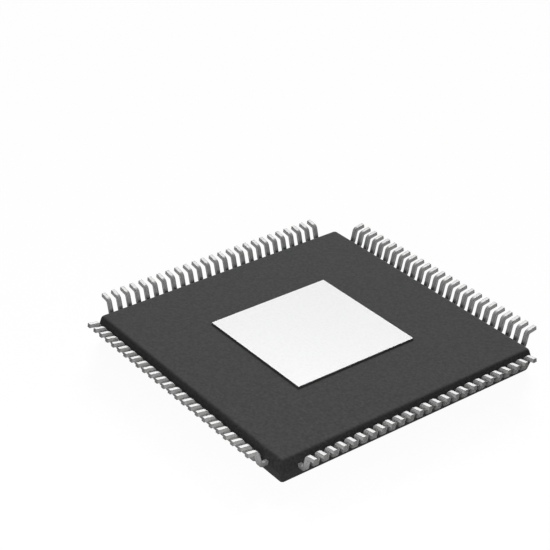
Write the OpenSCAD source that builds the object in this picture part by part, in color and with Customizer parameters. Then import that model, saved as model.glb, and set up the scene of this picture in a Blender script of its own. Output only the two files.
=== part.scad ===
// Chip in a quad flat package with an exposed heat pad, lying on its package top with its pad and feet up.
// Millimetres, +Z up, origin at the middle of the package top.

/* [Body] */
// Width across the parting line
body_width = 13.9; // [13.4:0.1:14.4]
// Height between the two flat faces
body_height = 1.15; // [1.06:0.01:1.26]
// Draft of the sides, in degrees
body_draft = 13; // [8:0.5:18]
// Radius of the edges around the two flat faces
face_edge_radius = 0.15; // [0.08:0.01:0.2]
// Radius of the upright corners
corner_radius = 0.13; // [0.06:0.01:0.2]
// Height of the plain strip beside the parting line
parting_strip = 0.06; // [0.02:0.01:0.1]

/* [Lead frame] */
// Leads in each row
leads_per_row = 25; // [21:1:25]
// Distance between the middles of two leads
lead_pitch = 0.5; // [0.46:0.01:0.54]
// Width of a lead
lead_width = 0.18; // [0.14:0.01:0.22]
// Thickness of a lead
lead_thickness = 0.18; // [0.13:0.01:0.22]
// Height of the lead frame's middle plane above the package top
frame_height = 0.665; // [0.6:0.005:0.72]

/* [Formed lead] */
// Reach of the shoulder from the body to the upper bend
shoulder_reach = 0.34; // [0.3:0.01:0.44]
// Outward lean of the riser between its two bends
riser_lean_length = 0.17; // [0.08:0.01:0.24]
// Rise of the heel bend above the body's bottom face
heel_rise = 0.2; // [0.14:0.005:0.26]
// Length of the foot from the heel bend to the toe
foot_length = 0.49; // [0.4:0.01:0.6]
// Tilt of the foot, in degrees, its toe farther from the body than its heel
foot_tilt = 9.5; // [0:0.5:16]
// Inner radius of the two bends
bend_radius = 0.07; // [0.04:0.01:0.1]

/* [Inner fingers] */
// Length that a finger runs straight inside the body
finger_straight = 0.35; // [0.25:0.05:0.5]
// Gap between the middle of a row's last finger and the body's diagonal, along the row
finger_strap_gap = 0.47; // [0.42:0.01:0.55]
// Distance of the finger tips from the middle
finger_ring = 3.95; // [3.75:0.05:4.3]
// Width of a finger's tip
finger_tip_width = 0.15; // [0.1:0.01:0.18]

/* [Heat pad] */
// Width of the exposed pad
pad_width = 6.42; // [6:0.02:7]
// Height of the pad above the body's bottom face
pad_proud = 0.08; // [0.02:0.01:0.12]
// Thickness of the paddle under the pad
paddle_thickness = 0.25; // [0.2:0.01:0.28]
// Width of the locking rim around the paddle
rim_width = 0.35; // [0.2:0.05:0.5]
// Thickness of the locking rim and the corner straps
rim_thickness = 0.1; // [0.06:0.01:0.12]
// Width of a corner strap
strap_width = 0.2; // [0.14:0.02:0.26]
// Length along the diagonal that a strap takes to step to the lead frame's plane
strap_step_length = 0.6; // [0.4:0.05:0.8]
// Plastic left between a strap's end and the body's corner
strap_cover = 0.2; // [0.1:0.05:0.4]

/* [Die and wires] */
// Width of the die
die_width = 5; // [4.4:0.1:5.4]
// Thickness of the die
die_thickness = 0.25; // [0.2:0.01:0.28]
// Thickness of the adhesive under the die
attach_thickness = 0.025; // [0.015:0.005:0.04]
// Width of adhesive that shows around the die
attach_margin = 0.06; // [0.02:0.01:0.12]
// Thickness of a bond wire
wire_thickness = 0.025; // [0.02:0.005:0.03]
// Clearance of the wires' loops over the fingers
wire_loop = 0.12; // [0.08:0.01:0.2]
// Radius of the bends in a wire
loop_radius = 0.08; // [0.04:0.01:0.1]
// Distance of the bond pads from the die's edge
bond_inset = 0.12; // [0.08:0.01:0.2]
// Distance from the last bond pad to the die's corner
bond_corner_gap = 0.3; // [0.25:0.01:0.4]
// Diameter of the ball on a bond pad
ball_diameter = 0.06; // [0.05:0.005:0.08]
// Height of the ball on a bond pad
ball_height = 0.015; // [0.01:0.005:0.02]
// Length of a wire's flattened end on a finger
stitch_length = 0.12; // [0.08:0.01:0.16]
// Width of the flattened end
stitch_width = 0.05; // [0.04:0.005:0.07]
// Thickness of the flattened end
stitch_thickness = 0.015; // [0.01:0.0025:0.0175]
// Length of finger between its tip and the wire's flattened end
stitch_inset = 0.06; // [0.04:0.01:0.1]

/* [Hidden] */

// Straight pieces that stand for one rounded bend
bend_steps = 6;
// Straight pieces that stand for one rounded edge of the body
edge_steps = 4;
// Straight pieces that stand for one rounded corner of the body
corner_steps = 4;
// Straight pieces that stand for one bend of a wire
loop_steps = 2;
// Sides of the ball on a bond pad
ball_sides = 8;
// Length by which an extruded form passes the body, so that it is cut clean
overrun = 2;
// Depth that the body's cut for a wire runs on into the die and the finger, so that the cuts meet
seat_depth = 0.02;

half_body = body_width / 2;
half_pad = pad_width / 2;
half_die = die_width / 2;
half_rim = half_pad + rim_width;
half_attach = half_die + attach_margin;

// Heights, from the package top up
finger_low = frame_height - lead_thickness / 2;
pad_face = body_height + pad_proud;
paddle_low = pad_face - paddle_thickness;
attach_low = paddle_low - attach_thickness;
die_low = attach_low - die_thickness;
loop_low = min(die_low, finger_low) - wire_loop;

// Body half widths at its two flat faces, before their edges are rounded
half_top_face = half_body - finger_low * tan(body_draft);
half_bottom_face = half_body - (body_height - finger_low - parting_strip) * tan(body_draft);

// Spacing of the finger tips and of the bond pads
tip_pitch = 2 * (finger_ring - finger_strap_gap) / (leads_per_row - 1);
bond_pitch = 2 * (half_die - bond_corner_gap) / (leads_per_row - 1);
bond_ring = half_die - bond_inset;

// Place of a lead in its row, counted in pitches from the row's middle
function place(i) = i - (leads_per_row - 1) / 2;

// Outlines: corners rounded into short straight pieces, and a band to the left and right of a line
function unit(v) = v / norm(v);
function short_way(a) = a > 180 ? a - 360 : a < -180 ? a + 360 : a;
function bearing(v) = atan2(v[1], v[0]);
function corner_arc(before, corner, after, radius, steps) =
    let (
        back = unit(before - corner),
        on = unit(after - corner),
        half_angle = acos(back * on) / 2,
        middle = corner + unit(back + on) * radius / sin(half_angle),
        first = bearing(corner + back * radius / tan(half_angle) - middle),
        last = bearing(corner + on * radius / tan(half_angle) - middle),
        sweep = short_way(last - first)
    )
    [for (i = [0:steps]) middle + radius * [cos(first + sweep * i / steps), sin(first + sweep * i / steps)]];
function rounded_path(points, radius, steps) = [
    points[0],
    for (i = [1:len(points) - 2]) each corner_arc(points[i - 1], points[i], points[i + 1], radius, steps),
    points[len(points) - 1]
];
function left_of(a, b) = let (d = unit(b - a)) [-d[1], d[0]];
function mitre(points, i) =
    let (
        last = len(points) - 1,
        before = left_of(points[max(i - 1, 0)], points[max(i, 1)]),
        after = left_of(points[min(i, last - 1)], points[min(i + 1, last)])
    )
    (before + after) / (1 + before * after);
function band(points, left, right) = [
    for (i = [0:len(points) - 1]) points[i] + mitre(points, i) * left,
    for (i = [len(points) - 1:-1:0]) points[i] - mitre(points, i) * right
];

// Half of the body's side outline, from the package top to the bottom face
side_half = [
    each corner_arc([0, 0], [half_top_face, 0], [half_body, finger_low], face_edge_radius, edge_steps),
    [half_body, finger_low],
    [half_body, finger_low + parting_strip],
    each corner_arc([half_body, finger_low + parting_strip], [half_bottom_face, body_height],
        [0, body_height], face_edge_radius, edge_steps)
];
function both_halves(half) = concat(half, [for (i = [len(half) - 1:-1:0]) [-half[i][0], half[i][1]]]);
// The same outline seen along a line turned from the side, over the rounded corner
function turned_half(turn) = [
    for (p = side_half) [(p[0] - corner_radius) * (cos(turn) + sin(turn)) + corner_radius, p[1]]
];

// Where the fingers turn in, clear of the straps
last_lead = place(leads_per_row - 1) * lead_pitch;
finger_turn = max(half_body - finger_straight, last_lead + finger_strap_gap);

// Middle lines: the formed lead, and a strap along the body's diagonal
heel = [half_body + shoulder_reach + riser_lean_length, body_height + heel_rise];
lead_line = rounded_path([
    [finger_turn, frame_height],
    [half_body + shoulder_reach, frame_height],
    heel,
    heel + foot_length * [cos(foot_tilt), sin(foot_tilt)]
], bend_radius + lead_thickness / 2, bend_steps);
rim_middle = paddle_low + rim_thickness / 2;
strap_bend = half_rim * sqrt(2);
strap_end = half_body * sqrt(2) - corner_radius * (sqrt(2) - 1) - strap_cover;
strap_line = [
    [strap_bend - strap_width, rim_middle],
    [strap_bend, rim_middle],
    [strap_bend + strap_step_length, frame_height],
    [strap_end, frame_height]
];

// An outline drawn in the X-Z plane, made solid evenly about that plane
module upright(width) {
    rotate([90, 0, 0]) linear_extrude(height = width, center = true) children();
}

// A square plate about the middle, from one height to another
module plate(half, low, high) {
    translate([-half, -half, low]) cube([2 * half, 2 * half, high - low]);
}

// One lead: the formed outer part and its inner finger, in the row on the +X side
module lead(i) {
    side = place(i) * lead_pitch;
    tip = place(i) * tip_pitch;
    translate([0, side, 0]) upright(lead_width)
        polygon(band(lead_line, lead_thickness / 2, lead_thickness / 2));
    translate([0, 0, finger_low]) linear_extrude(height = lead_thickness) polygon([
        [finger_turn, side - lead_width / 2],
        [finger_turn, side + lead_width / 2],
        [finger_ring, tip + finger_tip_width / 2],
        [finger_ring, tip - finger_tip_width / 2]
    ]);
}

// One bond wire: a ball on the die, a loop, and a flattened end on the finger.
// In the body's cut, the ball and the flattened end run on by a depth into what they are bonded to.
module wire(i, depth) {
    start = [bond_ring, place(i) * bond_pitch];
    tip = [finger_ring, place(i) * tip_pitch];
    root = [finger_turn, place(i) * lead_pitch];
    run = tip + unit(root - tip) * (stitch_inset + stitch_length) - start;
    reach = norm(run);
    line = rounded_path([
        [wire_thickness / 2, die_low],
        [wire_thickness / 2, loop_low],
        [reach / 2, loop_low],
        [reach - stitch_length, finger_low],
        [reach - stitch_length / 2, finger_low]
    ], loop_radius, loop_steps);
    translate([start[0], start[1], 0]) rotate([0, 0, bearing(run)]) {
        upright(wire_thickness) polygon(band(line, 0, wire_thickness));
        translate([0, 0, die_low - ball_height])
            cylinder(d = ball_diameter, h = ball_height + depth, $fn = ball_sides);
        translate([reach - stitch_length, -stitch_width / 2, finger_low - stitch_thickness])
            cube([stitch_length, stitch_width, stitch_thickness + depth]);
    }
}

// The four rows are one row turned about the middle
module lead_row(quarter) {
    color([0.78, 0.78, 0.77]) rotate([0, 0, 90 * quarter]) for (i = [0:leads_per_row - 1]) lead(i);
}
module wire_row(quarter, depth = 0) {
    color([0.83, 0.65, 0.3]) rotate([0, 0, 90 * quarter]) for (i = [0:leads_per_row - 1]) wire(i, depth);
}
module leads_right() { lead_row(0); }
module leads_back() { lead_row(1); }
module leads_left() { lead_row(2); }
module leads_front() { lead_row(3); }
module wires_right() { wire_row(0); }
module wires_back() { wire_row(1); }
module wires_left() { wire_row(2); }
module wires_front() { wire_row(3); }

// The paddle, its locking rim, and a strap to each corner
module die_paddle() {
    color([0.86, 0.86, 0.85]) union() {
        plate(half_pad, paddle_low, pad_face);
        plate(half_rim, paddle_low, paddle_low + rim_thickness);
        for (corner = [0:3])
            rotate([0, 0, 45 + 90 * corner]) upright(strap_width)
                polygon(band(strap_line, rim_thickness / 2, rim_thickness / 2));
    }
}

module die_attach() {
    color([0.6, 0.58, 0.52]) plate(half_attach, attach_low, paddle_low);
}

module silicon_die() {
    color([0.3, 0.31, 0.35]) plate(half_die, die_low, attach_low);
}

// The moulded body, cast around everything inside it
module mould_body() {
    length = body_width * sqrt(2) + overrun;
    color([0.16, 0.16, 0.17]) difference() {
        intersection_for (i = [0:2 * corner_steps - 1])
            rotate([0, 0, 90 * i / corner_steps])
                upright(length) polygon(both_halves(turned_half(90 * (i % corner_steps) / corner_steps)));
        die_paddle();
        die_attach();
        silicon_die();
        for (quarter = [0:3]) {
            lead_row(quarter);
            wire_row(quarter, seat_depth);
        }
    }
}

mould_body();
die_paddle();
die_attach();
silicon_die();
leads_right();
leads_back();
leads_left();
leads_front();
wires_right();
wires_back();
wires_left();
wires_front();
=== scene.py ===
"""Looks of the quad flat package chip: it lies on its package top, with its heat pad and its feet up."""
import math
from collections import namedtuple

import bpy
from mathutils import Matrix, Vector

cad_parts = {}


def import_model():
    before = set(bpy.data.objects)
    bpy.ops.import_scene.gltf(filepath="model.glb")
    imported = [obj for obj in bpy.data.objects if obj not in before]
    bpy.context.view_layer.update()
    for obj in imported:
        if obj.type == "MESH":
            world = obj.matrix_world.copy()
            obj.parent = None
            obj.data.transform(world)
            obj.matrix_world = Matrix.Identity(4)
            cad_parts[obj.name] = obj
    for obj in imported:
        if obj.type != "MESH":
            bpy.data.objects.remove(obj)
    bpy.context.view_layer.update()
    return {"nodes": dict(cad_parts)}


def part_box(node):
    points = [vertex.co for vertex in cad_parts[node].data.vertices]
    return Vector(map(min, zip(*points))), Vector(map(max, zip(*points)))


# Metres in a millimetre: the sizes below are in millimetres
MM = 0.001

# Camera, fitted to the photograph's lead rows and faces
CAMERA_PLACE = (45.500, -36.145, 37.637)
CAMERA_FORWARD = (-0.69293, 0.51921, -0.50026)
CAMERA_RIGHT = (0.59916, 0.80063, 0.00103)
CAMERA_LENS = 100.35
CAMERA_SENSOR = 36.0
CAMERA_NEAREST = 1.0
CAMERA_FARTHEST = 5000.0

# Grain: its first tone is whole up to the low value of the noise, and its second one from the high value
Grain = namedtuple("Grain", "size detail low high")
# Moulded plastic: the speck is its second tone
Moulding = namedtuple("Moulding", "name base speck roughness specular grain relief edge_radius")
# Plated metal: the mottle is its second tone; the edge tone is painted shade, the low tone is painted shade
# on the tin and bare copper on the pad, and the tone at its reach marks the sheared ends of the tin's leads
# and is painted shade on the pad's walls
Metal = namedtuple("Metal", ("name base mottle edge low low_from low_to cut cut_band metallic roughness "
                             "specular grain relief edge_radius"))
# Hidden pieces: the shade is their first tone
Plain = namedtuple("Plain", "name base shade metallic roughness grain")

# Finishes, in linear colours
COMPOUND = Moulding(
    name="mould_compound",
    base=(0.0115, 0.0115, 0.0117, 1.0),
    speck=(0.033, 0.033, 0.0334, 1.0),
    roughness=1.0,
    specular=0.56,
    grain=Grain(size=0.12, detail=4.0, low=0.35, high=0.75),
    relief=0.006,
    edge_radius=0.06,
)
TIN = Metal(
    name="tin_plate",
    base=(0.45, 0.45, 0.447, 1.0),
    mottle=(0.37, 0.37, 0.367, 1.0),
    # Painted shade along the edges
    edge=(0.15, 0.15, 0.149, 1.0),
    # Painted shade low down, darker towards the body
    low=(0.20, 0.20, 0.199, 1.0),
    low_from=1.0,
    low_to=0.6,
    cut=(0.24, 0.24, 0.238, 1.0),
    cut_band=0.06,
    metallic=0.22,
    roughness=0.6,
    specular=0.12,
    grain=Grain(size=0.06, detail=3.0, low=0.4, high=0.7),
    relief=0.002,
    edge_radius=0.05,
)
# The pad's walls have a dark tone of painted shade, and its low tone is the bare copper inside the body
PAD_PLATE = Metal(
    name="plated_pad",
    base=(0.835, 0.835, 0.84, 1.0),
    mottle=(0.80, 0.80, 0.80, 1.0),
    # Painted shade along the edges
    edge=(0.78, 0.78, 0.78, 1.0),
    low=(0.55, 0.27, 0.17, 1.0),
    low_from=1.12,
    low_to=1.1,
    # Painted shade on the pad's walls
    cut=(0.06, 0.06, 0.06, 1.0),
    cut_band=0.01,
    metallic=0.05,
    roughness=0.75,
    specular=0.12,
    grain=Grain(size=0.12, detail=3.0, low=0.4, high=0.7),
    relief=0.0008,
    edge_radius=0.02,
)
FAINT_GRAIN = Grain(size=0.1, detail=2.0, low=0.3, high=0.7)
GOLD = Plain(
    name="bond_wire",
    base=(0.80, 0.56, 0.20, 1.0),
    shade=(0.68, 0.476, 0.17, 1.0),
    metallic=1.0,
    roughness=0.3,
    grain=FAINT_GRAIN,
)
ADHESIVE = Plain(
    name="adhesive",
    base=(0.30, 0.29, 0.26, 1.0),
    shade=(0.255, 0.247, 0.221, 1.0),
    metallic=0.0,
    roughness=0.6,
    grain=FAINT_GRAIN,
)
SILICON = Plain(
    name="silicon",
    base=(0.11, 0.115, 0.14, 1.0),
    shade=(0.094, 0.098, 0.119, 1.0),
    metallic=0.6,
    roughness=0.15,
    grain=FAINT_GRAIN,
)

# Samples that the soft edges take
EDGE_SAMPLES = 6
# Cosines of the turn from a face to its softened edge: on the flat, and where the painted edge shade is
# whole
FLAT_COSINE = 1.0
EDGE_COSINE = 0.8
# Depth below a node's highest point that counts as its top face
TOP_DEPTH = 0.01

# Light: a soft lamp behind, a gleam that only reflections see, a fill at the near corner and a weak sky
LAMP_FROM = (-1.2, 1.15, 0.9)
LAMP_STRENGTH = 4.8
GLEAM_FROM = (-0.85, 0.73, 0.95)
GLEAM_STRENGTH = 4.6
LAMP_SPREAD = 25.0
FILL_PLACE = (22.0, -22.0, 13.0)
FILL_WIDTH = 10.0
FILL_POWER = 0.0058
SKY_STRENGTH = 0.03

# Floor and sky: white where the camera, reflections and glass see them
WHITE = (1.0, 1.0, 1.0, 1.0)
SKY_SEEN = 1.0
FLOOR_COLOUR = (0.24, 0.24, 0.24, 1.0)
FLOOR_WIDTH = 4000.0
FLOOR_GLOW = 1.19
FLOOR_GLOW_SHARE = 0.8


def empty_tree(owner):
    """The node tree of a material or a sky, with nothing in it."""
    owner.use_nodes = True
    owner.node_tree.nodes.clear()
    return owner.node_tree


def new_material(name):
    """A new material, its node tree, and its Principled shader, joined to the output."""
    material = bpy.data.materials.new(name)
    tree = empty_tree(material)
    shader = tree.nodes.new("ShaderNodeBsdfPrincipled")
    output = tree.nodes.new("ShaderNodeOutputMaterial")
    tree.links.new(shader.outputs["BSDF"], output.inputs["Surface"])
    return material, tree, shader


def worked_out(tree, operation, *values):
    """What an operation makes of one or two values."""
    step = tree.nodes.new("ShaderNodeMath")
    step.operation = operation
    for value, socket in zip(values, step.inputs):
        tree.links.new(value, socket)
    return step.outputs["Value"]


def share_between(tree, value, none_at, whole_at):
    """Nothing where the value is at its first mark, rising to one at its second mark."""
    share = tree.nodes.new("ShaderNodeMapRange")
    share.inputs["From Min"].default_value = none_at
    share.inputs["From Max"].default_value = whole_at
    tree.links.new(value, share.inputs["Value"])
    return share.outputs["Result"]


def part_place(tree):
    """The surface's place in the part's own frame, in metres."""
    return tree.nodes.new("ShaderNodeTexCoord").outputs["Object"]


def part_axes(tree):
    """That place's X, Y and Z."""
    axes = tree.nodes.new("ShaderNodeSeparateXYZ")
    tree.links.new(part_place(tree), axes.inputs["Vector"])
    return axes.outputs


def grain_noise(tree, grain):
    """Noise in the part's own frame, with grains of about that size."""
    noise = tree.nodes.new("ShaderNodeTexNoise")
    noise.inputs["Scale"].default_value = 1.0 / (grain.size * MM)
    noise.inputs["Detail"].default_value = grain.detail
    tree.links.new(part_place(tree), noise.inputs["Vector"])
    return noise.outputs["Fac"]


def two_tone(tree, noise, grain, first, second):
    """A colour between two tones by the noise."""
    ramp = tree.nodes.new("ShaderNodeValToRGB")
    tones = zip(ramp.color_ramp.elements, (grain.low, grain.high), (first, second))
    for element, position, tone in tones:
        element.position = position
        element.color = tone
    tree.links.new(noise, ramp.inputs["Fac"])
    return ramp.outputs["Color"]


def mixed(tree, share, colour_socket, other_colour):
    """A colour that turns to another one as the share rises to one."""
    mix = tree.nodes.new("ShaderNodeMix")
    mix.data_type = "RGBA"
    mix.inputs["B"].default_value = other_colour
    tree.links.new(share, mix.inputs["Factor"])
    tree.links.new(colour_socket, mix.inputs["A"])
    return mix.outputs["Result"]


def soft_edge(tree, radius):
    """The surface's normal, rounded over its edges."""
    edge = tree.nodes.new("ShaderNodeBevel")
    edge.samples = EDGE_SAMPLES
    edge.inputs["Radius"].default_value = radius * MM
    return edge.outputs["Normal"]


def edge_shade_share(tree, edge):
    """Nothing on the flat of a face, rising to one on its softened edge, for the painted shade on the
    edges.
    """
    face = tree.nodes.new("ShaderNodeNewGeometry")
    likeness = tree.nodes.new("ShaderNodeVectorMath")
    likeness.operation = "DOT_PRODUCT"
    tree.links.new(face.outputs["True Normal"], likeness.inputs[0])
    tree.links.new(edge, likeness.inputs[1])
    return share_between(tree, likeness.outputs["Value"], FLAT_COSINE, EDGE_COSINE)


def low_share(tree, start, full):
    """Nothing above the height where it starts, rising to one down at the height where it is full."""
    return share_between(tree, part_axes(tree)["Z"], start * MM, full * MM)


def reach_share(tree, reach, band):
    """One on the outer half of a band that ends at the reach, in metres, and nothing farther in than it."""
    axes = part_axes(tree)
    across = worked_out(tree, "ABSOLUTE", axes["X"])
    along = worked_out(tree, "ABSOLUTE", axes["Y"])
    outward = worked_out(tree, "MAXIMUM", across, along)
    return share_between(tree, outward, reach - band * MM, reach - band * MM / 2)


def set_relief(tree, shader, noise, height, edge):
    """Raises the surface by the noise over its softened edges."""
    bump = tree.nodes.new("ShaderNodeBump")
    bump.inputs["Distance"].default_value = height * MM
    tree.links.new(edge, bump.inputs["Normal"])
    tree.links.new(noise, bump.inputs["Height"])
    tree.links.new(bump.outputs["Normal"], shader.inputs["Normal"])


def moulding_material(finish):
    """Matt dark moulding compound with a fine speckle and softened edges."""
    material, tree, shader = new_material(finish.name)
    shader.inputs["Roughness"].default_value = finish.roughness
    shader.inputs["Specular IOR Level"].default_value = finish.specular
    noise = grain_noise(tree, finish.grain)
    colour = two_tone(tree, noise, finish.grain, finish.base, finish.speck)
    tree.links.new(colour, shader.inputs["Base Color"])
    set_relief(tree, shader, noise, finish.relief, soft_edge(tree, finish.edge_radius))
    return material


def metal_material(finish, reach):
    """Plated metal with a fine mottle, painted shade on its edges, a low tone that is painted shade on the
    tin and bare copper on the pad, and a tone at the reach: the sheared ends of the tin's leads, painted
    shade on the pad's walls.
    """
    material, tree, shader = new_material(finish.name)
    shader.inputs["Metallic"].default_value = finish.metallic
    shader.inputs["Roughness"].default_value = finish.roughness
    shader.inputs["Specular IOR Level"].default_value = finish.specular
    noise = grain_noise(tree, finish.grain)
    edge = soft_edge(tree, finish.edge_radius)
    colour = two_tone(tree, noise, finish.grain, finish.base, finish.mottle)
    # On the tin the low tone is painted shade, darker down towards the body; on the pad it is the bare
    # copper inside the body
    colour = mixed(tree, low_share(tree, finish.low_from, finish.low_to), colour, finish.low)
    # Painted shade on the softened edges
    colour = mixed(tree, edge_shade_share(tree, edge), colour, finish.edge)
    # The sheared ends of the tin's leads, and painted shade on the pad's walls
    colour = mixed(tree, reach_share(tree, reach, finish.cut_band), colour, finish.cut)
    tree.links.new(colour, shader.inputs["Base Color"])
    set_relief(tree, shader, noise, finish.relief, edge)
    return material


def plain_material(finish):
    """One colour with a faint grain, for the pieces inside the body."""
    material, tree, shader = new_material(finish.name)
    shader.inputs["Metallic"].default_value = finish.metallic
    shader.inputs["Roughness"].default_value = finish.roughness
    noise = grain_noise(tree, finish.grain)
    colour = two_tone(tree, noise, finish.grain, finish.shade, finish.base)
    tree.links.new(colour, shader.inputs["Base Color"])
    return material


def top_reach(node):
    """How far a node's top face reaches from the middle, in metres."""
    corners = [vertex.co for vertex in node.data.vertices]
    top = max(corner.z for corner in corners)
    return max(corner.x for corner in corners if corner.z > top - TOP_DEPTH * MM)


def dress(nodes):
    """Gives every CAD node its material."""
    lead_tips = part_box("leads_right")[1]
    tin = metal_material(TIN, lead_tips.x)
    gold = plain_material(GOLD)
    finishes = {
        "mould_body": moulding_material(COMPOUND),
        "die_paddle": metal_material(PAD_PLATE, top_reach(nodes["die_paddle"])),
        "die_attach": plain_material(ADHESIVE),
        "silicon_die": plain_material(SILICON),
    }
    for side in ("right", "back", "left", "front"):
        finishes["leads_" + side] = tin
        finishes["wires_" + side] = gold
    for name, node in nodes.items():
        node.data.materials.clear()
        node.data.materials.append(finishes[name])


def seen_share(tree):
    """One for the rays of the camera, of reflections and through glass, and nothing for falling light."""
    rays = tree.nodes.new("ShaderNodeLightPath").outputs
    mirrored = worked_out(tree, "MAXIMUM", rays["Is Glossy Ray"], rays["Is Transmission Ray"])
    return worked_out(tree, "MAXIMUM", rays["Is Camera Ray"], mirrored)


def floor_material():
    """Matt and pale, with a white glow where it is seen."""
    material = bpy.data.materials.new("floor_white")
    tree = empty_tree(material)
    matt = tree.nodes.new("ShaderNodeBsdfDiffuse")
    matt.inputs["Color"].default_value = FLOOR_COLOUR
    glow = tree.nodes.new("ShaderNodeEmission")
    glow.inputs["Color"].default_value = WHITE
    glow.inputs["Strength"].default_value = FLOOR_GLOW
    share = tree.nodes.new("ShaderNodeMath")
    share.operation = "MULTIPLY"
    share.inputs[1].default_value = FLOOR_GLOW_SHARE
    mix = tree.nodes.new("ShaderNodeMixShader")
    output = tree.nodes.new("ShaderNodeOutputMaterial")
    tree.links.new(seen_share(tree), share.inputs[0])
    tree.links.new(share.outputs["Value"], mix.inputs["Fac"])
    tree.links.new(matt.outputs["BSDF"], mix.inputs[1])
    tree.links.new(glow.outputs["Emission"], mix.inputs[2])
    tree.links.new(mix.outputs["Shader"], output.inputs["Surface"])
    return material


def add_floor():
    """The floor under the chip, which takes its soft shadow."""
    bpy.ops.mesh.primitive_plane_add(size=FLOOR_WIDTH * MM)
    floor = bpy.context.object
    floor.name = "floor"
    floor.data.materials.append(floor_material())


def add_sky():
    """A weak even sky that shows as white."""
    world = bpy.data.worlds.new("sky")
    bpy.context.scene.world = world
    tree = empty_tree(world)
    sky = tree.nodes.new("ShaderNodeBackground")
    sky.inputs["Color"].default_value = WHITE
    strength = tree.nodes.new("ShaderNodeMapRange")
    strength.inputs["To Min"].default_value = SKY_STRENGTH
    strength.inputs["To Max"].default_value = SKY_SEEN
    output = tree.nodes.new("ShaderNodeOutputWorld")
    tree.links.new(seen_share(tree), strength.inputs["Value"])
    tree.links.new(strength.outputs["Result"], sky.inputs["Strength"])
    tree.links.new(sky.outputs["Background"], output.inputs["Surface"])


def hang_lamp(lamp, place):
    """Hangs a lamp at a place, turned to the middle of the chip."""
    holder = bpy.data.objects.new(lamp.name, lamp)
    holder.location = Vector(place) * MM
    holder.rotation_euler = Vector(place).to_track_quat("Z", "Y").to_euler()
    bpy.context.scene.collection.objects.link(holder)
    return holder


def far_lamp(name, strength, place):
    """A soft lamp that lights everything evenly from the direction of its place."""
    lamp = bpy.data.lights.new(name, "SUN")
    lamp.energy = strength
    lamp.angle = math.radians(LAMP_SPREAD)
    return hang_lamp(lamp, place)


def add_lamps():
    """The lamp and the gleam behind, and the fill at the near corner."""
    far_lamp("soft_lamp", LAMP_STRENGTH, LAMP_FROM).visible_glossy = False
    far_lamp("gleam_lamp", GLEAM_STRENGTH, GLEAM_FROM).visible_diffuse = False
    fill = bpy.data.lights.new("fill_lamp", "AREA")
    fill.energy = FILL_POWER
    fill.size = FILL_WIDTH * MM
    hang_lamp(fill, FILL_PLACE).visible_glossy = False


def add_camera():
    """The camera that sees the chip as the photograph does."""
    data = bpy.data.cameras.new("camera")
    data.sensor_width = CAMERA_SENSOR
    data.lens = CAMERA_LENS
    data.clip_start = CAMERA_NEAREST * MM
    data.clip_end = CAMERA_FARTHEST * MM
    camera = bpy.data.objects.new("camera", data)
    back = -Vector(CAMERA_FORWARD).normalized()
    right = Vector(CAMERA_RIGHT)
    right = (right - back * right.dot(back)).normalized()
    up = back.cross(right)
    turn = Matrix((right, up, back)).transposed().to_4x4()
    camera.matrix_world = Matrix.Translation(Vector(CAMERA_PLACE) * MM) @ turn
    bpy.context.scene.collection.objects.link(camera)
    bpy.context.scene.camera = camera


def main():
    """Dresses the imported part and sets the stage."""
    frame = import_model()
    bpy.context.scene.view_settings.view_transform = "Standard"
    dress(frame["nodes"])
    add_floor()
    add_sky()
    add_lamps()
    add_camera()


main()
